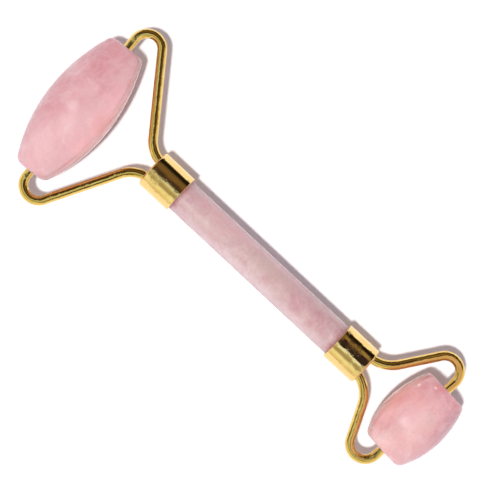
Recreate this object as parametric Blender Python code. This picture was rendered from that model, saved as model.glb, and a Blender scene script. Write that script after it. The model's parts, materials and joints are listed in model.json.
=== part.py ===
"""Double-ended face roller: a stone handle with a wire fork and a spinning stone barrel at each end.

The roller lies on its two barrels. +X runs along the handle towards the large barrel, +Z is up, and the
origin is under the middle of the bounding box, on the surface that the roller lies on. Left is +Y and right
is -Y. Inside the assembly the handle's axis is the X axis, and "outward" is +1 at the large end and -1 at
the small end.
"""

import math
from collections import namedtuple

import bmesh
import bpy
from mathutils import Vector

MM = 0.001

# Driving dimensions
FERRULE_SPAN = 80.2 * MM  # from one ferrule's end face to the other's
FERRULE_DIAMETER = 11.4 * MM
FERRULE_LENGTH = 10.8 * MM
FERRULE_WALL = 0.55 * MM
FERRULE_END_WALL = 0.9 * MM
FERRULE_EDGE_RADIUS = 0.75 * MM
HANDLE_DIAMETER = 9.75 * MM
HANDLE_ENGAGEMENT = 4.7 * MM  # how deep the handle sits in each ferrule
WIRE_DIAMETER = 2.7 * MM
LEG_SPACING = 5.5 * MM  # between the two arms of a fork, inside the ferrule
ROOT_DEPTH = 5.0 * MM  # how far an arm's root reaches in from the ferrule's end face
FORK_SET = math.radians(4.6)  # both forks lean this far towards +Y
ELBOW_RADIUS = 4.25 * MM
TIP_DEPTH = 8.4 * MM  # how deep an arm's tip goes into its barrel
TIP_CHAMFER = 0.4 * MM
BORE_DIAMETER = 5.1 * MM
BORE_DEPTH = 9.9 * MM
BORE_CHAMFER = 0.3 * MM
BUSH_DIAMETER = 4.8 * MM
BUSH_BORE = 2.86 * MM
BUSH_LENGTH = 9.4 * MM
BUSH_FLOOR = 1.0 * MM
BUSH_RECESS = 0.3 * MM  # from the barrel's end face in to the bush's mouth
BUSH_CHAMFER = 0.2 * MM
BOND_GAP = 0.15 * MM  # between pieces that are bonded together
STONE_CHAMFER = 0.4 * MM
MOUTH_CHAMFER = 0.15 * MM

# splay: between an arm's straight run and the handle's axis
# knee: from the ferrule's end face to where the arm's leg and its run would meet
Arm = namedtuple("Arm", "name side splay knee")
# diameter: where the crown would meet the flat end face if the edge between them were sharp
End = namedtuple("End", "diameter edge_radius")
# reach: from the ferrule's end face to the barrel's centre, along the fork's own axis
Head = namedtuple(
    "Head",
    "name outward reach stone_length stone_diameter left_end right_end knee_radius arms",
)
LARGE = Head(
    name="large",
    outward=1,
    reach=25.7 * MM,
    stone_length=43.0 * MM,
    stone_diameter=20.0 * MM,
    left_end=End(9.5 * MM, 2.7 * MM),
    right_end=End(10.6 * MM, 1.8 * MM),
    knee_radius=8.2 * MM,
    arms=(
        Arm("left", 1, math.radians(61.8), 2.95 * MM),
        Arm("right", -1, math.radians(52.9), 2.8 * MM),
    ),
)
SMALL = Head(
    name="small",
    outward=-1,
    reach=19.65 * MM,
    stone_length=24.2 * MM,
    stone_diameter=18.6 * MM,
    left_end=End(12.5 * MM, 2.3 * MM),
    right_end=End(13.4 * MM, 1.2 * MM),
    knee_radius=9.6 * MM,
    arms=(
        Arm("left", 1, math.radians(65.9), 3.85 * MM),
        Arm("right", -1, math.radians(54.6), 3.4 * MM),
    ),
)

# Mesh density
TURNED_SEGMENTS = 48
BUSH_SEGMENTS = 24
WIRE_SIDES = 16
KNEE_STEPS = 8
ELBOW_STEPS = 14
CROWN_STEPS = 6  # in each half of a barrel
EDGE_STEPS = 4
FERRULE_EDGE_STEPS = 5
MERGE_DISTANCE = 0.001 * MM
SHARP_ANGLE = math.radians(30)


# Plane geometry: every path and axis lies in the plane of the two forks

def barrel_axis(head):
    """Unit vector along the barrel's own axis, towards +Y."""
    return Vector((-head.outward * math.sin(FORK_SET), math.cos(FORK_SET)))


def barrel_centre(head):
    return Vector(
        (
            head.outward * (FERRULE_SPAN / 2 + head.reach * math.cos(FORK_SET)),
            head.reach * math.sin(FORK_SET),
        )
    )


def crossing(point_a, along_a, point_b, along_b):
    """Where two lines in the plane meet."""
    between = point_b - point_a
    share = between.cross(along_b) / along_a.cross(along_b)
    return point_a + share * along_a


def rounded_path(corners, radii, steps):
    """The corners joined by straight runs, with each inner corner rounded to its radius."""
    path = [corners[0]]
    inner = zip(corners, corners[1:], corners[2:], radii, steps)
    for before, corner, after, radius, count in inner:
        arriving = (corner - before).normalized()
        leaving = (after - corner).normalized()
        turn = arriving.angle(leaving)
        side = 1 if arriving.cross(leaving) > 0 else -1
        start = corner - arriving * radius * math.tan(turn / 2)
        centre = start + side * radius * Vector((-arriving.y, arriving.x))
        for step in range(count + 1):
            angle = side * turn * step / count
            spoke = start - centre
            path.append(
                centre
                + Vector(
                    (
                        spoke.x * math.cos(angle) - spoke.y * math.sin(angle),
                        spoke.x * math.sin(angle) + spoke.y * math.cos(angle),
                    )
                )
            )
    return path + [corners[-1]]


def arm_path(head, arm, root_depth=ROOT_DEPTH):
    """Centreline of one fork arm, from its root inside the ferrule to its tip inside the barrel."""
    face = head.outward * FERRULE_SPAN / 2
    leg = arm.side * LEG_SPACING / 2
    root = Vector((face - head.outward * root_depth, leg))
    knee = Vector((face + head.outward * arm.knee, leg))
    run = Vector((head.outward * math.cos(arm.splay), arm.side * math.sin(arm.splay)))
    along_axle = arm.side * barrel_axis(head)
    elbow = crossing(knee, run, barrel_centre(head), along_axle)
    tip = barrel_centre(head) + along_axle * (head.stone_length / 2 - TIP_DEPTH)
    return rounded_path(
        [root, knee, elbow, tip],
        [head.knee_radius, ELBOW_RADIUS],
        [KNEE_STEPS, ELBOW_STEPS],
    )


def arc(centre, radius, start, end, steps):
    """Points (r, z) on an arc, between two angles that are measured from the radial direction."""
    angles = [start + (end - start) * step / steps for step in range(steps + 1)]
    return [(centre[0] + radius * math.cos(a), centre[1] + radius * math.sin(a)) for a in angles]


def mirrored(profile):
    """The upper half of a profile, from the axis outwards, with its mirror image below it."""
    return [(r, -z) for r, z in profile] + list(reversed(profile))


# Mesh helpers

def material(name, colour, roughness, metallic=0.0):
    made = bpy.data.materials.new(name)
    made.use_nodes = True
    shader = made.node_tree.nodes["Principled BSDF"]
    shader.inputs["Base Color"].default_value = (*colour, 1.0)
    shader.inputs["Roughness"].default_value = roughness
    shader.inputs["Metallic"].default_value = metallic
    return made


def placed(made, parent, finish, location=(0, 0, 0), rotation=(0, 0, 0)):
    """Gives an object its finish and its place under its parent."""
    made.data.materials.append(finish)
    made.parent = parent
    made.location = location
    made.rotation_euler = rotation
    return made


def turned(name, profile, segments):
    """A solid of revolution about local Z, from a profile of (radius, z) that starts and ends on the axis."""
    mesh = bpy.data.meshes.new(name)
    shape = bmesh.new()
    points = [shape.verts.new((r, 0, z)) for r, z in profile]
    edges = [shape.edges.new(pair) for pair in zip(points, points[1:])]
    bmesh.ops.spin(
        shape,
        geom=points + edges,
        cent=(0, 0, 0),
        axis=(0, 0, 1),
        angle=2 * math.pi,
        steps=segments,
        use_merge=True,
    )
    bmesh.ops.remove_doubles(shape, verts=shape.verts, dist=MERGE_DISTANCE)
    bmesh.ops.recalc_face_normals(shape, faces=shape.faces)
    shape.to_mesh(mesh)
    shape.free()
    mesh.shade_smooth()
    mesh.set_sharp_from_angle(angle=SHARP_ANGLE)
    made = bpy.data.objects.new(name, mesh)
    bpy.context.collection.objects.link(made)
    return made


def wire(name, path, diameter, chamfer=0.0):
    """A round wire along a path in the plane, with its last end chamfered."""
    if chamfer:
        last = (path[-1] - path[-2]).normalized()
        path = path[:-1] + [path[-1] - last * chamfer, path[-1]]
    curve = bpy.data.curves.new(name, "CURVE")
    curve.dimensions = "3D"
    curve.bevel_depth = diameter / 2
    curve.bevel_resolution = (WIRE_SIDES - 4) // 2
    curve.use_fill_caps = True
    spline = curve.splines.new("POLY")
    spline.points.add(len(path) - 1)
    for point, at in zip(spline.points, path):
        point.co = (at.x, at.y, 0, 1)
    if chamfer:
        spline.points[-1].radius = 1 - 2 * chamfer / diameter
    spline.use_smooth = True
    made = bpy.data.objects.new(name, curve)
    bpy.context.collection.objects.link(made)
    return made


def leg_drill(head, arm, parent):
    """A mesh that drills the ferrule and its epoxy for an arm's leg, following the arm's own bend."""
    name = f"{head.name}_{arm.name}_drill"
    root_and_half_the_knee = KNEE_STEPS // 2 + 3
    path = arm_path(head, arm, ROOT_DEPTH + BOND_GAP)[:root_and_half_the_knee]
    shape_object = wire(name + "_shape", path, WIRE_DIAMETER + 2 * BOND_GAP)
    graph = bpy.context.evaluated_depsgraph_get()
    mesh = bpy.data.meshes.new_from_object(shape_object.evaluated_get(graph))
    bpy.data.objects.remove(shape_object)
    closed = bmesh.new()
    closed.from_mesh(mesh)
    bmesh.ops.remove_doubles(closed, verts=closed.verts, dist=MERGE_DISTANCE)
    bmesh.ops.recalc_face_normals(closed, faces=closed.faces)
    closed.to_mesh(mesh)
    closed.free()
    cutter = bpy.data.objects.new(name, mesh)
    bpy.context.collection.objects.link(cutter)
    cutter.parent = parent
    cutter.hide_render = True
    cutter.display_type = "WIRE"
    return cutter


def drill(made, cutters):
    for cutter in cutters:
        cut = made.modifiers.new("Drill " + cutter.name, "BOOLEAN")
        cut.operation = "DIFFERENCE"
        cut.solver = "EXACT"
        cut.object = cutter


# Sub-parts

def handle_stone(parent, finish):
    """A plain round rod of stone, its ends eased, glued into both ferrules."""
    half = FERRULE_SPAN / 2 - FERRULE_LENGTH + HANDLE_ENGAGEMENT
    radius = HANDLE_DIAMETER / 2
    profile = mirrored([(0, half), (radius - STONE_CHAMFER, half), (radius, half - STONE_CHAMFER)])
    rod = turned("handle_stone", profile, TURNED_SEGMENTS)
    placed(rod, parent, finish, rotation=(0, math.pi / 2, 0))


def ferrule(head, parent, finish, cutters):
    """A turned cup, drilled for the two arms. Its closed end is outwards, and local +Z points out of it."""
    outer = FERRULE_DIAMETER / 2
    inner = outer - FERRULE_WALL
    edge_centre = (outer - FERRULE_EDGE_RADIUS, -FERRULE_EDGE_RADIUS)
    profile = (
        [(0, 0)]
        + list(reversed(arc(edge_centre, FERRULE_EDGE_RADIUS, 0, math.pi / 2, FERRULE_EDGE_STEPS)))
        + [
            (outer, -FERRULE_LENGTH + MOUTH_CHAMFER),
            (outer - MOUTH_CHAMFER, -FERRULE_LENGTH),
            (inner, -FERRULE_LENGTH),
            (inner, -FERRULE_END_WALL),
            (0, -FERRULE_END_WALL),
        ]
    )
    cup = turned(head.name + "_ferrule", profile, TURNED_SEGMENTS)
    drill(cup, cutters)
    placed(cup, parent, finish, *end_face(head))


def end_face(head):
    """Location and rotation that put local Z = 0 on the ferrule's end face, with +Z outwards."""
    return (head.outward * FERRULE_SPAN / 2, 0, 0), (0, head.outward * math.pi / 2, 0)


def ferrule_epoxy(head, parent, finish, cutters):
    """The cured resin between the ferrule's end wall and the handle, cast round the arms' roots."""
    radius = FERRULE_DIAMETER / 2 - FERRULE_WALL - BOND_GAP
    top = -FERRULE_END_WALL - BOND_GAP
    bottom = -FERRULE_LENGTH + HANDLE_ENGAGEMENT + BOND_GAP
    profile = [(0, top), (radius, top), (radius, bottom), (0, bottom)]
    slug = turned(head.name + "_ferrule_epoxy", profile, TURNED_SEGMENTS)
    drill(slug, cutters)
    placed(slug, parent, finish, *end_face(head))


def fork_arm(head, arm, parent, finish):
    """One bent wire: root in the ferrule, knee, straight run, elbow, and the tip that the barrel turns on."""
    bent = wire(f"{head.name}_fork_{arm.name}_arm", arm_path(head, arm), WIRE_DIAMETER, TIP_CHAMFER)
    placed(bent, parent, finish)


def crown_curve(head, end):
    """Radius of the crown's arc, which bulges from the end's diameter to the stone's own in the middle."""
    bulge = (head.stone_diameter - end.diameter) / 2
    return ((head.stone_length / 2) ** 2 + bulge**2) / (2 * bulge)


def half_barrel(head, end):
    """Outline of half a barrel, from its blind bore's floor round the end to the crown's middle."""
    half = head.stone_length / 2
    crown_radius = crown_curve(head, end)
    crown_centre = head.stone_diameter / 2 - crown_radius
    bore = BORE_DIAMETER / 2
    # The edge's arc touches the flat end face and the crown's arc from inside.
    edge_z = half - end.edge_radius
    edge_r = crown_centre + math.sqrt((crown_radius - end.edge_radius) ** 2 - edge_z**2)
    meeting = math.atan2(edge_z, edge_r - crown_centre)
    edge = arc((edge_r, edge_z), end.edge_radius, math.pi / 2, meeting, EDGE_STEPS)
    crown = arc((crown_centre, 0), crown_radius, meeting, 0, CROWN_STEPS)
    return [
        (0, half - BORE_DEPTH),
        (bore, half - BORE_DEPTH),
        (bore, half - BORE_CHAMFER),
        (bore + BORE_CHAMFER, half),
    ] + edge + crown[1:]


def roller_stone(head, hub, finish):
    """The barrel, with a blind bore in each end. It is ground by hand, and its left end is the slimmer."""
    left = half_barrel(head, head.left_end)
    right = half_barrel(head, head.right_end)
    profile = left + [(r, -z) for r, z in reversed(right[:-1])]
    stone = turned(head.name + "_roller_stone", profile, TURNED_SEGMENTS)
    placed(stone, hub, finish)


def roller_bush(head, arm, hub, finish):
    """A nylon cup glued into one bore. It turns on the arm's tip, and its floor takes the thrust."""
    outer = BUSH_DIAMETER / 2
    inner = BUSH_BORE / 2
    profile = [
        (0, BUSH_FLOOR - BUSH_LENGTH),
        (inner, BUSH_FLOOR - BUSH_LENGTH),
        (inner, -BUSH_CHAMFER),
        (inner + BUSH_CHAMFER, 0),
        (outer, 0),
        (outer, -BUSH_LENGTH),
        (0, -BUSH_LENGTH),
    ]
    bush = turned(f"{head.name}_roller_{arm.name}_bush", profile, BUSH_SEGMENTS)
    mouth = arm.side * (head.stone_length / 2 - BUSH_RECESS)
    half_turn = 0 if arm.side > 0 else math.pi
    placed(bush, hub, finish, (0, 0, mouth), (half_turn, 0, 0))


# Assembly

def empty(name, parent=None, location=(0, 0, 0), rotation=(0, 0, 0)):
    made = bpy.data.objects.new(name, None)
    bpy.context.collection.objects.link(made)
    made.parent = parent
    made.location = location
    made.rotation_euler = rotation
    return made


def roller_hub(head, parent):
    """An empty in the middle of the barrel, with local Z along the axis that it spins about, towards +Y."""
    centre = barrel_centre(head)
    return empty(
        head.name + "_roller_hub",
        parent,
        (centre.x, centre.y, 0),
        (-math.pi / 2, 0, head.outward * FORK_SET),
    )


def crown_reach(head):
    """How far the leaning barrel reaches past its centre along X. The right half reaches furthest."""
    crown_radius = crown_curve(head, head.right_end)
    return crown_radius - (crown_radius - head.stone_diameter / 2) * math.cos(FORK_SET)


def middle_of_bounds():
    """Middle of the whole roller in the plane of the forks."""
    front = barrel_centre(LARGE).x + crown_reach(LARGE)
    back = barrel_centre(SMALL).x - crown_reach(SMALL)
    across = [point.y for arm in LARGE.arms for point in arm_path(LARGE, arm)]
    return Vector(((front + back) / 2, (min(across) + max(across)) / 2))


def clear_scene():
    for old in list(bpy.data.objects):
        bpy.data.objects.remove(old)


def build():
    clear_scene()
    quartz = material("rose_quartz", colour=(0.84, 0.50, 0.52), roughness=0.18)
    gold = material("gold_plated_brass", colour=(0.90, 0.62, 0.22), roughness=0.12, metallic=1.0)
    nylon = material("nylon", colour=(0.86, 0.84, 0.78), roughness=0.45)
    epoxy = material("cured_epoxy", colour=(0.78, 0.70, 0.50), roughness=0.30)

    middle = middle_of_bounds()
    assembly = empty("roller_assembly", None, (-middle.x, -middle.y, LARGE.stone_diameter / 2))
    handle_stone(assembly, quartz)
    for head in (LARGE, SMALL):
        cutters = [leg_drill(head, arm, assembly) for arm in head.arms]
        ferrule(head, assembly, gold, cutters)
        ferrule_epoxy(head, assembly, epoxy, cutters)
        hub = roller_hub(head, assembly)
        roller_stone(head, hub, quartz)
        for arm in head.arms:
            fork_arm(head, arm, assembly, gold)
            roller_bush(head, arm, hub, nylon)


build()
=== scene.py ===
import json
import math
from collections import namedtuple

import bmesh
import bpy
from mathutils import Matrix, Vector


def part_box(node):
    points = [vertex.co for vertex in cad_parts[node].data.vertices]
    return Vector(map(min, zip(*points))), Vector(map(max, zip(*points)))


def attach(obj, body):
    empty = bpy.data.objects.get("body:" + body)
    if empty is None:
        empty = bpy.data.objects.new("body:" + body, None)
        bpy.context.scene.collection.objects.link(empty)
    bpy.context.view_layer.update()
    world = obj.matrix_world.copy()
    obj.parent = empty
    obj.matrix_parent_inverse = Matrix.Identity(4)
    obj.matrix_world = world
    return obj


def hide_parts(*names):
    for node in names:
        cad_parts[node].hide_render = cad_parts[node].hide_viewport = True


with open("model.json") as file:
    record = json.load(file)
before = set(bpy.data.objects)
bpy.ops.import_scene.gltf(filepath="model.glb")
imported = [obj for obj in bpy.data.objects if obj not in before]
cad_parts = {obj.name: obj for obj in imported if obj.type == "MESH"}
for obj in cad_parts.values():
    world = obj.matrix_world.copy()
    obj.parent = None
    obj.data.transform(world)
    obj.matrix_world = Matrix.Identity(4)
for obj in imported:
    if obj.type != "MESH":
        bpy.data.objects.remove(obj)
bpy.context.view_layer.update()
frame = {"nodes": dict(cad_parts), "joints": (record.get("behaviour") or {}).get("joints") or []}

MM = 0.001
QUARTER_TURN = math.pi / 2

# Dimensions as in the CAD, but for the wires and the barrels: they are 0.01 mm thinner, to stay
# inside it. Places come from the frame below.
FERRULE_DIAMETER = 11.4 * MM
FERRULE_WALL = 0.55 * MM
FERRULE_END_WALL = 0.9 * MM
FERRULE_EDGE_RADIUS = 0.75 * MM
WIRE_DIAMETER = 2.69 * MM
LEG_SPACING = 5.5 * MM  # between the two arms of a fork, inside the ferrule
ROOT_DEPTH = 5.0 * MM  # how far an arm's root reaches in from the ferrule's end face
ELBOW_RADIUS = 4.25 * MM
TIP_DEPTH = 8.4 * MM  # how deep an arm's tip goes into its barrel
BORE_DIAMETER = 5.1 * MM
BORE_DEPTH = 9.9 * MM
BUSH_DIAMETER = 4.8 * MM
BUSH_BORE = 2.86 * MM
BUSH_LENGTH = 9.4 * MM
BUSH_FLOOR = 1.0 * MM
BUSH_RECESS = 0.3 * MM  # from the barrel's end face in to the bush's mouth

# Edges that are chamfers in the CAD and round here.
TIP_ROUNDING = 0.4 * MM
MOUTH_ROUNDING = 0.16 * MM
BORE_ROUNDING = 0.35 * MM
BUSH_ROUNDING = 0.2 * MM
ROD_ROUNDING = 0.4 * MM

# Details that only the visual model has.
CUP_CORNER = 0.3 * MM
CUP_FACE_RINGS = (0, 2.5 * MM, 4.0 * MM)
CUP_WALL_MARGIN = 1.2 * MM
SOLDER_REACH = 0.42 * MM
SOLDER_OVERLAP = 0.01 * MM  # into the wire
SOLDER_SINK = 0.02 * MM  # into the ferrule

# How finely the curved shapes are divided.
SHARP_ANGLE = math.radians(40)
TURNED_SEGMENTS = 128
BARREL_SEGMENTS = 160
BUSH_SEGMENTS = 64
WIRE_SIDES = 40
SOLDER_SIDES = 48
SOLDER_STEPS = 8
KNEE_STEPS = 28
ELBOW_STEPS = 60
TIP_STEPS = 6
ROUNDING_STEPS = 6
BUSH_EDGE_STEPS = 5
EDGE_STEPS = 14
CROWN_STEPS = 30
ROD_STEPS = 24
CUP_WALL_STEPS = 12
BORE_STEPS = 4

Arm = namedtuple("Arm", "name side splay knee")
End = namedtuple("End", "diameter edge_radius")
Head = namedtuple(
    "Head",
    "name outward stone_length stone_diameter left_end right_end knee_radius arms",
)
LARGE = Head(
    name="large",
    outward=1,
    stone_length=43.0 * MM,
    stone_diameter=19.99 * MM,
    left_end=End(9.5 * MM, 2.7 * MM),
    right_end=End(10.6 * MM, 1.8 * MM),
    knee_radius=8.2 * MM,
    arms=(
        Arm("left", 1, math.radians(61.8), 2.95 * MM),
        Arm("right", -1, math.radians(52.9), 2.8 * MM),
    ),
)
SMALL = Head(
    name="small",
    outward=-1,
    stone_length=24.2 * MM,
    stone_diameter=18.59 * MM,
    left_end=End(12.5 * MM, 2.3 * MM),
    right_end=End(13.4 * MM, 1.2 * MM),
    knee_radius=9.6 * MM,
    arms=(
        Arm("left", 1, math.radians(65.9), 3.85 * MM),
        Arm("right", -1, math.radians(54.6), 3.4 * MM),
    ),
)

handle_low, handle_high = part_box("handle_stone")
HANDLE_MIDDLE = (handle_low + handle_high) / 2
HANDLE_LENGTH = handle_high.x - handle_low.x
HANDLE_DIAMETER = handle_high.z - handle_low.z
JOINTS = {joint["child"]: joint for joint in frame["joints"]}


def barrel_centre(head):
    return Vector(JOINTS[head.name + "_roller"]["pos_m"])


def barrel_axis(head):
    return Vector(JOINTS[head.name + "_roller"]["axis"]).normalized()


def roller_place(head):
    """The barrel's place: local Z along its axis, X towards the large end and Y down."""
    axis = barrel_axis(head)
    across = Vector((axis.y, -axis.x, 0))
    down = axis.cross(across)
    turn = Matrix((across, down, axis)).transposed().to_4x4()
    return Matrix.Translation(barrel_centre(head)) @ turn


# The handle's place: local Z towards the large end, X down and Y to the left.
HANDLE_PLACE = Matrix.Translation(HANDLE_MIDDLE) @ Matrix.Rotation(QUARTER_TURN, 4, "Y")


def end_face(head):
    """X of the ferrule's outer end face."""
    low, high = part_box(head.name + "_ferrule")
    return high.x if head.outward > 0 else low.x


# Meshes

def arc(centre, radius, start, end, steps):
    """Points on an arc in a plane, from one angle to another."""
    angles = [start + (end - start) * step / steps for step in range(steps + 1)]
    return [(centre[0] + radius * math.cos(a), centre[1] + radius * math.sin(a)) for a in angles]


def placed(name, mesh):
    """An object in the scene for a mesh."""
    made = bpy.data.objects.new(name, mesh)
    bpy.context.scene.collection.objects.link(made)
    return made


def finished(name, shape):
    """An object from a bmesh, smooth but for its sharp edges."""
    mesh = bpy.data.meshes.new(name)
    bmesh.ops.recalc_face_normals(shape, faces=shape.faces)
    shape.to_mesh(mesh)
    shape.free()
    mesh.shade_smooth()
    mesh.set_sharp_from_angle(angle=SHARP_ANGLE)
    return placed(name, mesh)


def turned(name, profile, segments):
    """A solid of revolution about local Z. Its profile of (radius, z) starts and ends on Z."""
    shape = bmesh.new()
    rings = []
    for radius, z in profile:
        angles = [2 * math.pi * side / segments for side in range(segments if radius else 1)]
        points = [(radius * math.cos(a), radius * math.sin(a), z) for a in angles]
        rings.append([shape.verts.new(point) for point in points])
    for one, two in zip(rings, rings[1:]):
        for side in range(segments):
            other = (side + 1) % segments
            start = [one[side], one[other]] if len(one) > 1 else one
            end = [two[other], two[side]] if len(two) > 1 else two
            shape.faces.new(start + end)
    return finished(name, shape)


def lofted(name, rings):
    """A closed solid through rings of points, with a flat end at the first and at the last ring."""
    shape = bmesh.new()
    rings = [[shape.verts.new(point) for point in points] for points in rings]
    sides = len(rings[0])
    for one, two in zip(rings, rings[1:]):
        for side in range(sides):
            other = (side + 1) % sides
            shape.faces.new((one[side], one[other], two[other], two[side]))
    shape.faces.new(rings[0])
    shape.faces.new(rings[-1])
    return finished(name, shape)


def ring(centre, radius, across, sides):
    """Points on a circle square to a level line, from the side that across points to."""
    up = Vector((0, 0, 1))
    angles = [2 * math.pi * side / sides for side in range(sides)]
    return [centre + (across * math.cos(a) + up * math.sin(a)) * radius for a in angles]


def swept(name, path, radii):
    """A round bar along a path that lies level, with its own radius at each point."""
    rings = []
    for index, (point, radius) in enumerate(zip(path, radii)):
        before = path[max(index - 1, 0)]
        after = path[min(index + 1, len(path) - 1)]
        along = (after - before).normalized()
        rings.append(ring(point, radius, Vector((-along.y, along.x, 0)), WIRE_SIDES))
    return lofted(name, rings)


def crossing(point_a, along_a, point_b, along_b):
    """Where two level lines meet."""
    between = point_b - point_a
    apart = between.x * along_b.y - between.y * along_b.x
    slant = along_a.x * along_b.y - along_a.y * along_b.x
    return point_a + apart / slant * along_a


def rounded_path(corners, radii, steps):
    """The corners joined by straight runs, with each inner corner rounded to its radius."""
    path = [corners[0]]
    for before, corner, after, radius, count in zip(
        corners, corners[1:], corners[2:], radii, steps
    ):
        arriving = (corner - before).normalized()
        leaving = (after - corner).normalized()
        turn = arriving.angle(leaving)
        side = 1 if arriving.cross(leaving).z > 0 else -1
        start = corner - arriving * radius * math.tan(turn / 2)
        centre = start + side * radius * Vector((-arriving.y, arriving.x, 0))
        for step in range(count + 1):
            turned_by = Matrix.Rotation(side * turn * step / count, 3, "Z")
            path.append(centre + turned_by @ (start - centre))
    return path + [corners[-1]]


def arm_path(head, arm):
    """Centreline of one fork arm, from its root inside the ferrule to its tip inside the barrel."""
    leg = HANDLE_MIDDLE.y + arm.side * LEG_SPACING / 2
    height = HANDLE_MIDDLE.z
    face = end_face(head)
    root = Vector((face - head.outward * ROOT_DEPTH, leg, height))
    knee = Vector((face + head.outward * arm.knee, leg, height))
    run = Vector((head.outward * math.cos(arm.splay), arm.side * math.sin(arm.splay), 0))
    along_axle = arm.side * barrel_axis(head)
    elbow = crossing(knee, run, barrel_centre(head), along_axle)
    tip = barrel_centre(head) + along_axle * (head.stone_length / 2 - TIP_DEPTH)
    bends = [head.knee_radius, ELBOW_RADIUS]
    return rounded_path([root, knee, elbow, tip], bends, [KNEE_STEPS, ELBOW_STEPS])


# Materials

class Tree:
    """Shorthand for a node tree: add makes a node and sets or links its inputs."""

    def __init__(self, tree):
        self.tree = tree

    def add(self, kind, inputs=None, **settings):
        node = self.tree.nodes.new(kind)
        for key, value in settings.items():
            setattr(node, key, value)
        for key, value in (inputs or {}).items():
            self.feed(node.inputs[key], value)
        return node

    def feed(self, socket, value):
        if isinstance(value, bpy.types.NodeSocket):
            self.tree.links.new(value, socket)
        else:
            socket.default_value = value

    def maths(self, operation, a, b=0.0, c=0.0):
        return self.add("ShaderNodeMath", {0: a, 1: b, 2: c}, operation=operation).outputs[0]

    def vector(self, operation, a, b):
        node = self.add("ShaderNodeVectorMath", {0: a, 1: b}, operation=operation)
        return node.outputs[0]

    def scaled(self, a, factor):
        node = self.add("ShaderNodeVectorMath", {0: a, "Scale": factor}, operation="SCALE")
        return node.outputs[0]

    def noise_node(self, place, scale, detail, roughness):
        inputs = {"Vector": place, "Scale": scale, "Detail": detail, "Roughness": roughness}
        return self.add("ShaderNodeTexNoise", inputs)

    def noise(self, place, scale, detail=3.0, roughness=0.5):
        """Soft noise about 0.5. The scale is in waves a metre."""
        return self.noise_node(place, scale, detail, roughness).outputs[0]

    def wander(self, place, scale, detail, roughness, reach):
        """A shift in a direction that drifts from place to place, up to half of reach each way."""
        colour = self.noise_node(place, scale, detail, roughness).outputs[1]
        return self.scaled(self.vector("SUBTRACT", colour, (0.5, 0.5, 0.5)), reach)

    def vein(self, place, scale, level, width, strength):
        """strength along the thin lines where noise crosses a level, easing to 0 beside them."""
        off = self.maths("SUBTRACT", self.noise(place, scale, 2.0), level)
        return self.remap(self.maths("ABSOLUTE", off), width, 0.0, 0.0, strength)

    def remap(self, value, low, high, to_low=0.0, to_high=1.0):
        """value from low..high to to_low..to_high, eased and clamped."""
        inputs = {
            "Value": value,
            "From Min": low,
            "From Max": high,
            "To Min": to_low,
            "To Max": to_high,
        }
        node = self.add("ShaderNodeMapRange", inputs, interpolation_type="SMOOTHSTEP")
        return node.outputs[0]

    def bump(self, height, strength, distance):
        inputs = {"Height": height, "Strength": strength, "Distance": distance}
        return self.add("ShaderNodeBump", inputs).outputs[0]

    def mix(self, factor, a, b):
        """Colour a where factor is 0, and colour b where it is 1."""
        node = self.add("ShaderNodeMix", data_type="RGBA")
        self.feed(node.inputs[0], factor)
        for socket, colour in ((node.inputs[6], a), (node.inputs[7], b)):
            is_link = isinstance(colour, bpy.types.NodeSocket)
            self.feed(socket, colour if is_link else (*colour, 1.0))
        return node.outputs[2]

    def ramp(self, value, stops, interpolation="LINEAR"):
        node = self.add("ShaderNodeValToRGB", {0: value})
        node.color_ramp.interpolation = interpolation
        elements = node.color_ramp.elements
        while len(elements) < len(stops):
            elements.new(1.0)
        for element, (position, colour) in zip(elements, stops):
            element.position = position
            element.color = (*colour, 1.0)
        return node.outputs[0]


def new_material(name):
    made = bpy.data.materials.new(name)
    made.use_nodes = True
    return made, Tree(made.node_tree), made.node_tree.nodes["Principled BSDF"]


# Where soft noise mostly lies.
NOISE_RANGE = (0.3, 0.7)

# The scales of all noise are in waves a metre.
CLOUD_SCALE = 70.0
MOTTLE_SCALE = 250.0
CLOUD_SHARE = 0.55
MOTTLE_SHARE = 0.45
DRIFT_SCALE = 85.0
DRIFT_REACH = 14 * MM
RAGGED_SCALE = 330.0
RAGGED_REACH = 3.2 * MM
TINT_FADE = (1.5, 0.15)
VEIL_SCALE = 150.0
VEIL_STRETCH = (1.0, 0.55, 1.7)
THREAD_SCALE = 190.0
THREAD_STRETCH = (1.6, 1.0, 0.5)
QUARTZ_GRAIN_SCALE = 1300.0
QUARTZ_POLISH_SCALE = 420.0
QUARTZ_RIPPLE_SCALE = 190.0
QUARTZ_RIPPLE_DEPTH = 0.05 * MM
QUARTZ_ROUGHNESS = (0.09, 0.17)
QUARTZ_IOR = 1.54
LIGHT_DEPTH = 4.5 * MM

GOLD_SHADE_SCALE = 300.0
GOLD_WIPING_SCALE = 500.0
GOLD_WIPING_STRETCH = (1.0, 5.0, 5.0)
GOLD_ROUGHNESS = (0.02, 0.10)
GOLD_RIPPLE_SCALE = 330.0
GOLD_PATCH_SCALE = 210.0
GOLD_GRAIN_SCALE = 2100.0
GOLD_PIT_SCALE = 1700.0
GOLD_PIT_DEPTH = 0.015

MOULDED_CLOUD_SCALE = 500.0
MOULDED_GRAIN_SCALE = 2500.0
MOULDED_GRAIN_DEPTH = 0.01 * MM
MOULDED_UNEVENNESS = 0.12

Tint = namedtuple("Tint", "centre radii colour strength")
Stone = namedtuple("Stone", "place offset deep middle pale tints veining")
Gold = namedtuple("Gold", "offset darker paler ripple_depth grain_depth")


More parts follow.
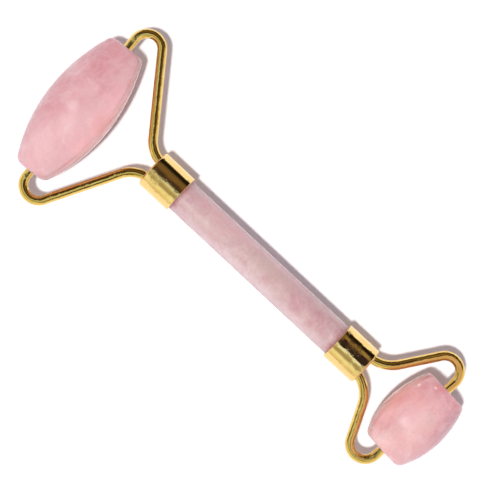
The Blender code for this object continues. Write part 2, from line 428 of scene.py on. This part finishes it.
def clouds(tree, bent, stone):
    """The stone's own colour: drifting clouds with a finer mottle."""
    cloud = tree.noise(bent, CLOUD_SCALE, detail=5.0, roughness=0.52)
    cloud = tree.maths("MULTIPLY", cloud, CLOUD_SHARE)
    mottle = tree.noise(bent, MOTTLE_SCALE)
    tone = tree.maths("MULTIPLY_ADD", mottle, MOTTLE_SHARE, cloud)
    stops = [(0.36, stone.deep), (0.49, stone.middle), (0.62, stone.pale)]
    return tree.ramp(tone, stops, "EASE")


# Some patches are the stone's own colour and some are painted light: painted highlights, painted
# shade, and sides made paler where the light falls.
def tints_and_painted_light(tree, place, moved, colour, tints):
    """Patches of another colour with soft ragged edges, each where the photo shows one."""
    ragged = tree.wander(moved, RAGGED_SCALE, detail=4.0, roughness=0.6, reach=RAGGED_REACH)
    here = tree.vector("ADD", place, ragged)
    for tint in tints:
        away = tree.vector("SUBTRACT", here, tuple(c * MM for c in tint.centre))
        away = tree.vector("DIVIDE", away, tuple(r * MM for r in tint.radii))
        length = tree.add("ShaderNodeVectorMath", {0: away}, operation="LENGTH")
        amount = tree.remap(length.outputs["Value"], *TINT_FADE, 0.0, tint.strength)
        colour = tree.mix(amount, colour, tint.colour)
    return colour


def veined(tree, moved, bent, colour, stone):
    """Pale veils, darker threads and a fine grain. The stone's veining sets how strong they are."""
    stretched = tree.vector("MULTIPLY", bent, VEIL_STRETCH)
    strength = 0.24 * stone.veining
    veil = tree.vein(stretched, VEIL_SCALE, level=0.5, width=0.06, strength=strength)
    colour = tree.mix(veil, colour, stone.pale)
    stretched = tree.vector("MULTIPLY", bent, THREAD_STRETCH)
    strength = 0.14 * stone.veining
    thread = tree.vein(stretched, THREAD_SCALE, level=0.46, width=0.03, strength=strength)
    colour = tree.mix(thread, colour, stone.deep)
    uneven = 0.03 * stone.veining
    grain = tree.noise(moved, QUARTZ_GRAIN_SCALE, roughness=0.6)
    grain = tree.remap(grain, *NOISE_RANGE, 1.0 - uneven, 1.0 + uneven)
    return tree.scaled(colour, grain)


def rose_quartz(name, stone):
    """Polished rose quartz: milky clouds, veils and small flaws, with light that sinks in, and
    patches of painted light, painted shade and painted highlights.
    """
    made, tree, shader = new_material(name)
    inputs = {
        "Vector": tree.add("ShaderNodeTexCoord").outputs["Object"],
        "Location": stone.place.to_translation(),
        "Rotation": stone.place.to_euler(),
    }
    place = tree.add("ShaderNodeMapping", inputs, vector_type="TEXTURE").outputs[0]
    moved = tree.vector("ADD", place, stone.offset)
    drift = tree.wander(moved, DRIFT_SCALE, detail=3.0, roughness=0.5, reach=DRIFT_REACH)
    bent = tree.vector("ADD", moved, drift)
    colour = clouds(tree, bent, stone)
    colour = tints_and_painted_light(tree, place, moved, colour, stone.tints)
    colour = veined(tree, moved, bent, colour, stone)
    tree.feed(shader.inputs["Base Color"], colour)
    polish = tree.noise(moved, QUARTZ_POLISH_SCALE, detail=4.0)
    roughness = tree.remap(polish, *NOISE_RANGE, *QUARTZ_ROUGHNESS)
    tree.feed(shader.inputs["Roughness"], roughness)
    ripple = tree.noise(moved, QUARTZ_RIPPLE_SCALE, detail=2.0)
    tree.feed(shader.inputs["Normal"], tree.bump(ripple, 0.35, QUARTZ_RIPPLE_DEPTH))
    shader.inputs["IOR"].default_value = QUARTZ_IOR
    shader.inputs["Sheen Weight"].default_value = 0.35
    shader.inputs["Sheen Roughness"].default_value = 0.12
    shader.inputs["Subsurface Weight"].default_value = 1.0
    shader.inputs["Subsurface Radius"].default_value = (1.0, 0.7, 0.7)
    shader.inputs["Subsurface Scale"].default_value = LIGHT_DEPTH
    return made


def polished_gold(name, gold):
    """Gold plating: a mirror with a slow ripple, patches of fine grain and small pits."""
    made, tree, shader = new_material(name)
    place = tree.add("ShaderNodeTexCoord").outputs["Object"]
    moved = tree.vector("ADD", place, gold.offset)
    shade = tree.noise(moved, GOLD_SHADE_SCALE, detail=4.0, roughness=0.55)
    colour = tree.mix(tree.remap(shade, *NOISE_RANGE), gold.darker, gold.paler)
    tree.feed(shader.inputs["Base Color"], colour)
    shader.inputs["Metallic"].default_value = 1.0
    stretched = tree.vector("MULTIPLY", moved, GOLD_WIPING_STRETCH)
    wiping = tree.noise(stretched, GOLD_WIPING_SCALE, detail=5.0, roughness=0.6)
    tree.feed(shader.inputs["Roughness"], tree.remap(wiping, 0.35, 0.75, *GOLD_ROUGHNESS))
    # The heights are in millimetres, because the bump's distance is one millimetre.
    ripple = tree.noise(moved, GOLD_RIPPLE_SCALE, detail=2.0)
    ripple = tree.maths("MULTIPLY", ripple, gold.ripple_depth)
    patches = tree.remap(tree.noise(moved, GOLD_PATCH_SCALE, detail=2.0), 0.44, 0.60)
    grain = tree.noise(moved, GOLD_GRAIN_SCALE, detail=2.0, roughness=0.6)
    grain = tree.maths("MULTIPLY", grain, patches)
    grain = tree.maths("MULTIPLY", grain, gold.grain_depth)
    pits = tree.noise(moved, GOLD_PIT_SCALE, detail=1.0)
    pits = tree.remap(pits, 0.27, 0.2, 0.0, -GOLD_PIT_DEPTH)
    height = tree.maths("ADD", tree.maths("ADD", ripple, grain), pits)
    tree.feed(shader.inputs["Normal"], tree.bump(height, 1.0, MM))
    return made


def moulded(name, colour, darker, roughness, clear):
    """A small moulded or cast piece: slightly cloudy, with a soft uneven surface."""
    made, tree, shader = new_material(name)
    place = tree.add("ShaderNodeTexCoord").outputs["Object"]
    cloud = tree.remap(tree.noise(place, MOULDED_CLOUD_SCALE), *NOISE_RANGE)
    tree.feed(shader.inputs["Base Color"], tree.mix(cloud, darker, colour))
    grain = tree.noise(place, MOULDED_GRAIN_SCALE, detail=2.0)
    uneven = tree.remap(grain, *NOISE_RANGE, roughness, roughness + MOULDED_UNEVENNESS)
    tree.feed(shader.inputs["Roughness"], uneven)
    tree.feed(shader.inputs["Normal"], tree.bump(grain, 0.4, MOULDED_GRAIN_DEPTH))
    shader.inputs["Subsurface Weight"].default_value = clear
    shader.inputs["Subsurface Scale"].default_value = MM
    return made


DEEP = (0.60, 0.265, 0.29)
ROSE = (0.66, 0.375, 0.39)
MILK = (0.735, 0.50, 0.51)
RED = (0.70, 0.26, 0.25)
MAUVE = (0.50, 0.26, 0.30)
BEIGE = (0.56, 0.43, 0.39)
# A snowy white of the stone's veils, also used as a painted soft highlight on the small barrel.
SNOW_AND_HIGHLIGHT = (0.82, 0.62, 0.62)
# Painted highlight: near-white for small glints of light on the small barrel.
PAINTED_GLINT = (1.0, 0.90, 0.86)
# Painted shade: dark red for where the rod goes into the ferrules.
PAINTED_MOUTH_SHADE = (0.40, 0.12, 0.13)

# The tints' centres and radii are in millimetres on the stone's own axes, as its place gives them.
LARGE_TINTS = (
    # Painted light: the barrel's side towards the handle made paler, for light that reaches it
    # there.
    Tint((-9.5, -6, 0), (5.4, 9, 32), (0.89, 0.53, 0.535), 1.0),
    Tint((-2.0, -10, 0.5), (5.5, 6, 9), (0.75, 0.51, 0.51), 0.6),
    Tint((2.7, -9, -13.8), (7, 9, 6), DEEP, 0.55),
    Tint((-4.5, -8, -14.0), (1.6, 4, 2.2), MILK, 0.5),
    Tint((0.5, -10, -5.3), (6, 6, 2.4), MILK, 0.35),
    Tint((-7.5, -6, -0.5), (1.8, 5, 2.6), RED, 0.2),
    Tint((6.0, -8, 3.0), (3.2, 6, 3.2), DEEP, 0.4),
    Tint((1.1, -10, 0.5), (1.7, 4, 1.6), SNOW_AND_HIGHLIGHT, 0.35),
    Tint((-1.0, -10, 5.0), (2.2, 5, 3.0), SNOW_AND_HIGHLIGHT, 0.35),
    Tint((0.5, -8, 14.5), (8.0, 8, 7.0), (0.78, 0.56, 0.565), 0.62),
)
SMALL_TINTS = (
    # The barrel's side towards the handle: the stone's salmon colour, with painted light that makes
    # it paler.
    Tint((9.2, -5, 0), (4.8, 8, 17), (0.90, 0.51, 0.48), 0.95),
    Tint((1.5, -10, -2.5), (5, 6, 6), (0.76, 0.50, 0.48), 0.5),
    Tint((5.0, -8, -3.5), (3.4, 7, 6.5), (0.80, 0.36, 0.35), 0.5),
    Tint((6.6, -6, -3.2), (1.2, 4, 4.4), RED, 0.35),
    Tint((2.8, -7, -10.8), (1.8, 5, 1.3), RED, 0.5),
    Tint((5.4, -6, 8.0), (1.5, 4, 1.3), RED, 0.3),
    Tint((5.2, -7, 4.4), (1.2, 4, 1.6), RED, 0.25),
    # The pale middle of the small barrel's top: the stone's milky colour, with a painted soft
    # highlight on it.
    Tint((1.6, -9, 0.5), (4.4, 6, 4.0), MILK, 0.5),
    Tint((1.8, -9, 2.1), (1.6, 4, 1.5), SNOW_AND_HIGHLIGHT, 0.6),
    Tint((-2.0, -9, -2.5), (2.4, 4, 3.0), BEIGE, 0.35),
    Tint((-7.5, -5, -6.5), (3.0, 6, 8.0), MAUVE, 0.6),
    Tint((-1.5, -8, 3.5), (6.0, 6, 10.5), (0.79, 0.55, 0.51), 0.42),
    Tint((0.9, -7, 9.5), (4.2, 5, 2.4), (0.80, 0.58, 0.55), 0.5),
    Tint((5.3, -7, -8.3), (1.8, 5, 2.2), DEEP, 0.5),
    Tint((4.5, -6, 11.0), (4.0, 6, 3.0), (0.82, 0.59, 0.56), 0.6),
    # Painted highlights: three small glints of light painted into the small barrel's colour, so
    # they turn with it.
    Tint((6.8, -6, -7.4), (0.3, 4, 0.75), PAINTED_GLINT, 0.85),
    Tint((3.0, -8, -10.1), (0.35, 4, 0.4), PAINTED_GLINT, 0.85),
    Tint((6.1, -6, 10.0), (0.3, 4, 0.5), PAINTED_GLINT, 0.6),
)
HANDLE_TINTS = (
    Tint((-3.5, -4.6, 4.0), (4, 2.5, 26), (0.70, 0.52, 0.53), 0.8),
    Tint((-3.5, -3.6, 15.5), (5, 3.4, 11), (0.71, 0.46, 0.47), 0.55),
    # Painted light: the rod's +Y side, which faces the lamp, made paler along its whole length.
    Tint((-3.5, 4.2, 0), (4, 1.9, 45), (0.70, 0.58, 0.59), 0.65),
    Tint((-5, -1.5, -2.5), (5, 2.2, 8.5), BEIGE, 0.7),
    Tint((-5, -0.6, -13.7), (4, 1.8, 2.4), MAUVE, 0.3),
    Tint((-5, 0.2, -20.0), (4, 2.2, 4.6), (0.54, 0.30, 0.32), 0.4),
    Tint((-5, 1.3, 20.0), (4, 1.0, 6.5), (0.66, 0.54, 0.50), 0.6),
    # Painted shade and painted reflection: darker red at both ends of the rod, where it goes into
    # the ferrules.
    Tint((0, 0, 30.2), (15, 15, 2.2), PAINTED_MOUTH_SHADE, 1.0),
    Tint((0, 0, -30.2), (15, 15, 2.2), PAINTED_MOUTH_SHADE, 1.0),
)

LARGE_STONE = Stone(
    place=roller_place(LARGE),
    offset=(0.031, 0.007, 0.052),
    deep=DEEP,
    middle=ROSE,
    pale=MILK,
    tints=LARGE_TINTS,
    veining=0.8,
)
SMALL_STONE = Stone(
    place=roller_place(SMALL),
    offset=(0.113, 0.094, 0.021),
    deep=DEEP,
    middle=ROSE,
    pale=MILK,
    tints=SMALL_TINTS,
    veining=1.1,
)
HANDLE_STONE = Stone(
    place=HANDLE_PLACE,
    offset=(0.207, 0.152, 0.093),
    deep=(0.52, 0.31, 0.335),
    middle=(0.565, 0.385, 0.39),
    pale=(0.63, 0.50, 0.485),
    tints=HANDLE_TINTS,
    veining=1.5,
)
WIRE_GOLD = Gold(
    offset=(0.011, 0.043, 0.017),
    darker=(0.83, 0.56, 0.14),
    paler=(0.90, 0.645, 0.20),
    ripple_depth=0.13,
    grain_depth=0.06,
)
FERRULE_GOLD = Gold(
    offset=(0.061, 0.013, 0.077),
    darker=(0.93, 0.65, 0.24),
    paler=(0.96, 0.70, 0.28),
    ripple_depth=0.03,
    grain_depth=0.10,
)

large_quartz = rose_quartz("large_rose_quartz", LARGE_STONE)
small_quartz = rose_quartz("small_rose_quartz", SMALL_STONE)
handle_quartz = rose_quartz("handle_rose_quartz", HANDLE_STONE)
wire_gold = polished_gold("wire_gold_plating", WIRE_GOLD)
ferrule_gold = polished_gold("ferrule_gold_plating", FERRULE_GOLD)
nylon = moulded(
    "natural_nylon",
    colour=(0.80, 0.77, 0.70),
    darker=(0.72, 0.69, 0.60),
    roughness=0.4,
    clear=0.5,
)
epoxy = moulded(
    "amber_epoxy",
    colour=(0.62, 0.47, 0.24),
    darker=(0.52, 0.38, 0.18),
    roughness=0.15,
    clear=0.3,
)


# Pieces

def settle(piece, material, slot, body, *nodes):
    """Gives a piece its material, its body, and the CAD nodes that it stands for."""
    piece.data.materials.clear()
    piece.data.materials.append(material)
    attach(piece, body)
    if nodes:
        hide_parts(*nodes)
    return piece


def rod_outline():
    """Outline of the handle's rod, from the middle of one end to the middle of the other."""
    half = HANDLE_LENGTH / 2
    radius = HANDLE_DIAMETER / 2
    straight = half - ROD_ROUNDING
    middle = (radius - ROD_ROUNDING, straight)
    corner = arc(middle, ROD_ROUNDING, QUARTER_TURN, 0, ROUNDING_STEPS)
    bare = [(radius, straight - straight * step / ROD_STEPS) for step in range(1, ROD_STEPS)]
    profile = [(0, half)] + corner + bare
    return profile + [(radius, 0)] + [(r, -z) for r, z in reversed(profile)]


def handle_rod():
    rod = turned("handle_rod", rod_outline(), TURNED_SEGMENTS)
    rod.data.transform(HANDLE_PLACE)
    settle(rod, handle_quartz, "rose_quartz", "handle", "handle_stone")


def cup_outline(length):
    """Outline of a ferrule, from the middle of its outer end round its lip to its inner floor."""
    outer = FERRULE_DIAMETER / 2
    inner = outer - FERRULE_WALL
    middle = (outer - FERRULE_EDGE_RADIUS, -FERRULE_EDGE_RADIUS)
    edge = arc(middle, FERRULE_EDGE_RADIUS, QUARTER_TURN, 0, EDGE_STEPS)
    wall = [
        (outer, -FERRULE_EDGE_RADIUS - (length - CUP_WALL_MARGIN) * step / CUP_WALL_STEPS)
        for step in range(1, CUP_WALL_STEPS)
    ]
    middle = (outer - MOUTH_ROUNDING, MOUTH_ROUNDING - length)
    lip_out = arc(middle, MOUTH_ROUNDING, 0, -QUARTER_TURN, ROUNDING_STEPS)
    middle = (inner + MOUTH_ROUNDING, MOUTH_ROUNDING - length)
    lip_in = arc(middle, MOUTH_ROUNDING, -QUARTER_TURN, -math.pi, ROUNDING_STEPS)
    inside = [
        (inner, -FERRULE_END_WALL - CUP_CORNER),
        (inner - CUP_CORNER, -FERRULE_END_WALL),
        (0, -FERRULE_END_WALL),
    ]
    return [(r, 0) for r in CUP_FACE_RINGS] + edge + wall + lip_out + lip_in + inside


def ferrule_cup(head):
    low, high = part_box(head.name + "_ferrule")
    cup = turned(head.name + "_ferrule_cup", cup_outline(high.x - low.x), TURNED_SEGMENTS)
    place = Vector((end_face(head), HANDLE_MIDDLE.y, HANDLE_MIDDLE.z))
    facing = Matrix.Rotation(head.outward * QUARTER_TURN, 4, "Y")
    cup.data.transform(Matrix.Translation(place) @ facing)
    settle(cup, ferrule_gold, "gold_plated_brass", "handle", head.name + "_ferrule")


def fork_wire(head, arm):
    """One bent arm. Its tip inside the barrel has a rounded edge."""
    path = arm_path(head, arm)
    along = (path[-1] - path[-2]).normalized()
    tip = path.pop()
    radius = WIRE_DIAMETER / 2
    radii = [radius] * len(path)
    for step in range(TIP_STEPS + 1):
        angle = step / TIP_STEPS * QUARTER_TURN
        path.append(tip - along * TIP_ROUNDING * (1 - math.sin(angle)))
        radii.append(radius - TIP_ROUNDING * (1 - math.cos(angle)))
    bent = swept(f"{head.name}_fork_{arm.name}_wire", path, radii)
    node = f"{head.name}_fork_{arm.name}_arm"
    settle(bent, wire_gold, "gold_plated_brass", "handle", node)


def leaving_face(path, face):
    """Where a path passes the X of a ferrule's end face, and which way it runs there."""
    for one, two in zip(path, path[1:]):
        step = two - one
        if (one.x - face) * (two.x - face) <= 0 and one.x != two.x:
            return one + step * ((face - one.x) / (two.x - one.x)), step.normalized()


def solder_collar(head, arm):
    """The small fillet of plated solder where an arm leaves the ferrule."""
    start, along = leaving_face(arm_path(head, arm), end_face(head))
    rings = []
    for step in range(SOLDER_STEPS + 1):
        angle = step / SOLDER_STEPS * QUARTER_TURN
        radius = WIRE_DIAMETER / 2 + SOLDER_REACH * (1 - math.sin(angle)) - SOLDER_OVERLAP
        lift = SOLDER_REACH * (1 - math.cos(angle)) - SOLDER_SINK
        centre = start + along * lift / abs(along.x)
        rings.append(ring(centre, radius, Vector((0, 1, 0)), SOLDER_SIDES))
    collar = lofted(f"{head.name}_fork_{arm.name}_solder", rings)
    settle(collar, ferrule_gold, "gold_plated_brass", "handle")


def half_barrel(head, end):
    """Outline of half a barrel, from the floor of its bore round the end to the crown's middle."""
    half = head.stone_length / 2
    bulge = (head.stone_diameter - end.diameter) / 2
    crown_radius = (half**2 + bulge**2) / (2 * bulge)
    crown_centre = head.stone_diameter / 2 - crown_radius
    edge_z = half - end.edge_radius
    edge_r = crown_centre + math.sqrt((crown_radius - end.edge_radius) ** 2 - edge_z**2)
    meeting = math.atan2(edge_z, edge_r - crown_centre)
    bore = BORE_DIAMETER / 2
    bore_floor = half - BORE_DEPTH
    straight = BORE_DEPTH - BORE_ROUNDING
    wall = [(bore, bore_floor + straight * step / BORE_STEPS) for step in range(BORE_STEPS)]
    middle = (bore + BORE_ROUNDING, half - BORE_ROUNDING)
    mouth = arc(middle, BORE_ROUNDING, math.pi, QUARTER_TURN, ROUNDING_STEPS)
    edge = arc((edge_r, edge_z), end.edge_radius, QUARTER_TURN, meeting, EDGE_STEPS)
    crown = arc((crown_centre, 0), crown_radius, meeting, 0, CROWN_STEPS)
    return [(0, bore_floor)] + wall + mouth + edge + crown[1:]


def roller_barrel(head, material):
    body = head.name + "_roller"
    left = half_barrel(head, head.left_end)
    right = half_barrel(head, head.right_end)
    profile = left + [(r, -z) for r, z in reversed(right[:-1])]
    barrel = turned(head.name + "_barrel", profile, BARREL_SEGMENTS)
    barrel.data.transform(roller_place(head))
    settle(barrel, material, "rose_quartz", body, head.name + "_roller_stone")


def roller_bush(head, arm):
    """The nylon cup that an arm's tip runs in, a little below the stone's end face."""
    body = head.name + "_roller"
    outer = BUSH_DIAMETER / 2
    inner = BUSH_BORE / 2
    edges = (
        (inner + BUSH_ROUNDING, math.pi, QUARTER_TURN),
        (outer - BUSH_ROUNDING, QUARTER_TURN, 0),
    )
    profile = [(0, BUSH_FLOOR - BUSH_LENGTH), (inner, BUSH_FLOOR - BUSH_LENGTH)]
    for middle, start, end in edges:
        profile += arc((middle, -BUSH_ROUNDING), BUSH_ROUNDING, start, end, BUSH_EDGE_STEPS)
    profile += [(outer, -BUSH_LENGTH), (0, -BUSH_LENGTH)]
    bush = turned(f"{head.name}_{arm.name}_bearing", profile, BUSH_SEGMENTS)
    mouth = arm.side * (head.stone_length / 2 - BUSH_RECESS)
    facing = Matrix.Rotation(0 if arm.side > 0 else math.pi, 4, "X")
    bush.data.transform(roller_place(head) @ Matrix.Translation((0, 0, mouth)) @ facing)
    settle(bush, nylon, "nylon", body, f"{head.name}_roller_{arm.name}_bush")


handle_rod()
for head, quartz in ((LARGE, large_quartz), (SMALL, small_quartz)):
    ferrule_cup(head)
    roller_barrel(head, quartz)
    for arm in head.arms:
        fork_wire(head, arm)
        solder_collar(head, arm)
        roller_bush(head, arm)
    slug = frame["nodes"][head.name + "_ferrule_epoxy"]
    slug.data.materials.clear()
    slug.data.materials.append(epoxy)


# Stage, light and camera

FLOOR_HALF_SIZE = 4.0
FLOOR_GAP = 0.02 * MM
FLOOR_WHITES = (0.89, 0.89, 0.89), (0.91, 0.91, 0.91)


def level_plane(name, low, high, height):
    """A level rectangle from one corner to the opposite one."""
    mesh = bpy.data.meshes.new(name)
    corners = [
        (low[0], low[1], height),
        (high[0], low[1], height),
        (high[0], high[1], height),
        (low[0], high[1], height),
    ]
    mesh.from_pydata(corners, [], [(0, 1, 2, 3)])
    return placed(name, mesh)


def floor():
    """A pale floor that touches both barrels."""
    large, small = barrel_centre(LARGE), barrel_centre(SMALL)
    rise = (LARGE.stone_diameter - SMALL.stone_diameter) / 2
    slope = math.atan2(rise, large.x - small.x)
    size = FLOOR_HALF_SIZE
    plane = level_plane("floor", (-size, -size), (size, size), 0)
    plane.location = (large.x, 0, -FLOOR_GAP)
    plane.rotation_euler = (0, slope, 0)
    made, tree, shader = new_material("floor_paper")
    place = tree.add("ShaderNodeTexCoord").outputs["Object"]
    grain = tree.noise(place, 900.0)
    tree.feed(shader.inputs["Base Color"], tree.mix(grain, *FLOOR_WHITES))
    shader.inputs["Roughness"].default_value = 0.9
    shader.inputs["Specular IOR Level"].default_value = 0.1
    plane.data.materials.append(made)


# What polished metal sees, by its angle from straight up in degrees. Negative is towards -Y.
STUDIO = (
    (-180, (0.95, 0.96, 1.00)),
    (-112, (0.95, 0.96, 0.95)),
    (-101, (0.92, 0.90, 0.82)),
    (-90, (0.36, 0.32, 0.30)),
    (-83, (0.030, 0.022, 0.018)),
    (-76, (0.010, 0.007, 0.006)),
    (-66, (0.016, 0.012, 0.010)),
    (-59, (0.080, 0.058, 0.035)),
    (-52, (0.165, 0.115, 0.060)),
    (-38, (0.185, 0.125, 0.065)),
    (-30, (0.165, 0.110, 0.056)),
    (-20, (0.090, 0.055, 0.037)),
    (-11, (0.048, 0.034, 0.032)),
    (-2, (0.080, 0.074, 0.070)),
    (3, (0.300, 0.318, 0.318)),
    (8, (0.720, 0.820, 0.900)),
    (13, (0.760, 0.860, 0.880)),
    (19, (0.560, 0.620, 0.540)),
    (30, (0.430, 0.400, 0.280)),
    (39, (0.380, 0.350, 0.260)),
    (45, (0.560, 0.580, 0.500)),
    (52, (0.880, 0.960, 0.840)),
    (62, (0.960, 1.000, 0.840)),
    (74, (0.800, 0.780, 0.600)),
    (89, (0.680, 0.640, 0.520)),
    (104, (0.820, 0.820, 0.740)),
    (122, (1.000, 1.050, 1.000)),
    (180, (0.95, 0.96, 1.00)),
)
# How far along X a reflection leans before it sees the side panels instead.
LARGE_SIDE = (0.8, 0.95)
SMALL_SIDE = (-0.56, -0.76)
SIDE_PANEL = (0.88, 0.88, 0.88)
BACKDROP = (0.93, 0.93, 0.93)
FILL_LEFT = (0.44, 0.385, 0.425)
FILL_RIGHT = (0.38, 0.335, 0.37)

# Things close over the roller: corners in X and Y in millimetres, and a colour.
PANEL_HEIGHT = 45 * MM
Panel = namedtuple("Panel", "name low high colour")
PANELS = (
    Panel("dark_panel", (-18, 22), (22, 62), (0.06, 0.045, 0.03)),
    Panel("bright_panel", (-150, -40), (-56, 15), (0.72, 0.56, 0.60)),
    Panel("bronze_strip", (-46, -52), (-33.9, -25), (0.30, 0.235, 0.13)),
    Panel("dark_strip", (-46, -25), (-33.9, 3.1), (0.036, 0.024, 0.034)),
    Panel("pale_strip", (-46, 3.1), (-33.9, 11.5), (0.84, 1.00, 1.15)),
)

KEY_ENERGY = 2.7
KEY_WIDTH = math.radians(4.5)
KEY_TILT = math.radians(10.2)

CAMERA_TURN = math.radians(43)
CAMERA_DISTANCE = 0.65
CAMERA_CLIP = 0.01
SENSOR_WIDTH = 36.0
SEEN_WIDTH = 137.25 * MM
SEEN_CENTRE = HANDLE_MIDDLE + Vector((5.09, -1.84, 0)) * MM


def studio():
    """A pale backdrop, a soft fill from +Y, and the bands of STUDIO for reflections."""
    world = bpy.data.worlds.new("studio")
    bpy.context.scene.world = world
    world.use_nodes = True
    tree = Tree(world.node_tree)
    background = world.node_tree.nodes["Background"]
    direction = tree.add("ShaderNodeTexCoord").outputs["Generated"]
    parts = tree.add("ShaderNodeSeparateXYZ", {0: direction}).outputs
    angle = tree.maths("ARCTAN2", parts["Y"], parts["Z"])
    share = tree.maths("MULTIPLY_ADD", angle, 1 / (2 * math.pi), 0.5)
    bands = tree.ramp(share, [(0.5 + degrees / 360, colour) for degrees, colour in STUDIO])
    to_large = tree.remap(parts["X"], *LARGE_SIDE)
    to_small = tree.remap(parts["X"], *SMALL_SIDE)
    bands = tree.mix(tree.maths("MAXIMUM", to_large, to_small), bands, SIDE_PANEL)
    fill = tree.mix(tree.maths("MULTIPLY_ADD", parts["Y"], 0.5, 0.5), FILL_RIGHT, FILL_LEFT)
    ray = tree.add("ShaderNodeLightPath").outputs
    seen = tree.mix(ray["Is Glossy Ray"], fill, bands)
    seen = tree.mix(ray["Is Camera Ray"], seen, BACKDROP)
    tree.feed(background.inputs["Color"], seen)


def key_light():
    """A small hard light close to the camera's axis, a little towards +Y. It casts the shadows."""
    lamp = bpy.data.lights.new("key", "SUN")
    lamp.energy = KEY_ENERGY
    lamp.angle = KEY_WIDTH
    key = placed("key", lamp)
    key.rotation_euler = (-KEY_TILT, 0, 0)
    key.visible_glossy = False


def camera():
    """Straight down, with the handle running from upper left to lower right."""
    right = Vector((-math.cos(CAMERA_TURN), -math.sin(CAMERA_TURN), 0))
    up = Vector((math.sin(CAMERA_TURN), -math.cos(CAMERA_TURN), 0))
    back = Vector((0, 0, 1))
    lens = bpy.data.cameras.new("camera")
    lens.sensor_width = SENSOR_WIDTH
    lens.lens = SENSOR_WIDTH * CAMERA_DISTANCE / SEEN_WIDTH
    lens.clip_start = CAMERA_CLIP
    eye = placed("camera", lens)
    facing = Matrix((right, up, back)).transposed().to_4x4()
    eye.matrix_world = Matrix.Translation(SEEN_CENTRE + back * CAMERA_DISTANCE) @ facing
    bpy.context.scene.camera = eye


def near_panel(panel):
    """A glowing panel overhead that only reflections see."""
    low, high = ([value * MM for value in corner] for corner in (panel.low, panel.high))
    plane = level_plane(panel.name, low, high, PANEL_HEIGHT)
    made = bpy.data.materials.new(panel.name)
    made.use_nodes = True
    tree = Tree(made.node_tree)
    glow = tree.add("ShaderNodeEmission")
    glow.inputs["Color"].default_value = (*panel.colour, 1.0)
    output = made.node_tree.nodes["Material Output"]
    tree.feed(output.inputs["Surface"], glow.outputs[0])
    plane.data.materials.append(made)
    plane.visible_camera = False
    plane.visible_diffuse = False
    plane.visible_shadow = False
    plane.visible_transmission = False
    plane.visible_volume_scatter = False


floor()
studio()
key_light()
for panel in PANELS:
    near_panel(panel)
camera()
bpy.context.scene.view_settings.view_transform = "Standard"

bpy.context.view_layer.update()
